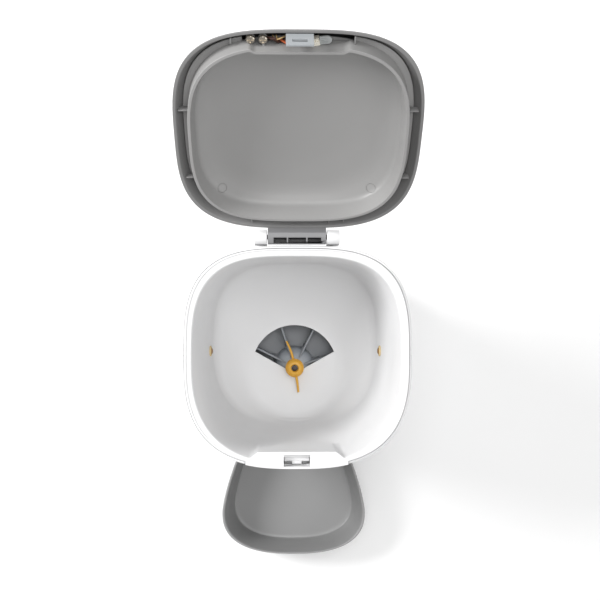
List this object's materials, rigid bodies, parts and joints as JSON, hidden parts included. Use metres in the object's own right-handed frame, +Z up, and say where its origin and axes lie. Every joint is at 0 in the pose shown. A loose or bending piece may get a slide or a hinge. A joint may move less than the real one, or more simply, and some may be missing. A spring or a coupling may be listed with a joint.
{
  "type": "automatic pet feeder",
  "caption": "Automatic pet feeder: lidded food hopper over a vaned portioning rotor that drops dry food down a chute into a pull-out tray.",
  "frame": {"origin": "on the floor, under the middle of the body's rim", "axes": "+Z up, +Y to the rear (hinge side), -Y to the front (tray side), +X to the right seen from above with the rear upwards"},
  "size_m": [0.196, 0.4684, 0.4036],
  "materials": {
    "white_shell": "smooth satin white moulding",
    "hopper_white": "smooth food-grade white",
    "lid_grey": "fine-grained mid grey",
    "liner_grey": "satin mid grey",
    "bracket_grey": "satin dark grey",
    "tray_grey": "satin grey, food-grade",
    "drive_grey": "satin grey",
    "amber": "flexible amber plastic",
    "sensor_amber": "clear amber lens",
    "tongue_grey": "light bluish grey",
    "steel": "plain steel",
    "screw_steel": "plated steel",
    "spring_steel": "nickel plated spring steel",
    "motor_metal": "zinc plated can",
    "gearbox_plastic": "ivory moulding",
    "board_green": "solder-masked board",
    "black_plastic": "black moulding",
    "button_grey": "soft satin grey",
    "clear_light": "clear light guide",
    "tab_clear": "translucent grey",
    "rubber_grey": "soft grey rubber",
    "wire_dark": "dark brown insulation",
    "wire_orange": "orange-red insulation",
    "wire_tan": "tan insulation",
    "connector_cream": "cream nylon"
  },
  "bodies": {
    "housing": {"shell_front": "white_shell", "shell_rear": "white_shell", "hopper": "hopper_white", "hinge_ears": "white_shell", "hinge_pin": "steel", "base_plate": "white_shell", "foot_ring": "rubber_grey", "battery_box": "hopper_white", "battery_contacts": "spring_steel", "rotor_chamber": "drive_grey", "chute": "drive_grey", "gearbox": "gearbox_plastic", "motor": "motor_metal", "control_board": "board_green", "feed_switch": "black_plastic", "status_light": "clear_light", "sensor_windows": "sensor_amber", "sensor_boards": "board_green", "power_jack": "black_plastic", "power_board": "board_green", "release_spring": "spring_steel", "base_screws": "screw_steel", "chamber_screws": "screw_steel", "motor_screws": "screw_steel", "board_screws": "screw_steel"},
    "lid": {"lid_cover": "lid_grey", "lid_liner": "liner_grey", "hinge_bracket": "bracket_grey", "latch_tongue": "tongue_grey", "lid_screws": "screw_steel", "lid_wires_dark": "wire_dark", "lid_wire_orange": "wire_orange", "lid_wire_tan": "wire_tan", "wire_connector": "connector_cream", "light_tab": "tab_clear"},
    "portioner": {"drive_shaft": "steel", "rotor": "drive_grey", "stirrer": "amber", "stirrer_screw": "screw_steel"},
    "release": {"release_button": "white_shell"},
    "feed_key": {"feed_button": "button_grey"},
    "door": {"battery_door": "white_shell"},
    "bowl": {"tray": "tray_grey"}
  },
  "joints": [
    {"name": "lid_hinge", "type": "hinge", "parent": "housing", "child": "lid", "pos_m": [0, 0.1015, 0.2595], "axis": [1, 0, 0], "range_deg": [0, 135]},
    {"name": "rotor_spin", "type": "hinge", "parent": "housing", "child": "portioner", "pos_m": [0, -0.0185, 0.1], "axis": [0, 0, 1], "continuous": true},
    {"name": "release_slide", "type": "slide", "parent": "housing", "child": "release", "axis": [0, 1, 0], "range_m": [0, 0.0024], "stiffness_N_per_m": 900, "springref_m": -0.001},
    {"name": "feed_slide", "type": "slide", "parent": "housing", "child": "feed_key", "axis": [0, 1, 0], "range_m": [0, 0.001], "stiffness_N_per_m": 900, "springref_m": -0.0005},
    {"name": "door_slide", "type": "slide", "parent": "housing", "child": "door", "axis": [0, 0, -1], "range_m": [0, 0.03]},
    {"name": "tray_slide", "type": "slide", "parent": "housing", "child": "bowl", "axis": [0, -1, 0], "range_m": [0, 0.05]}
  ]
}
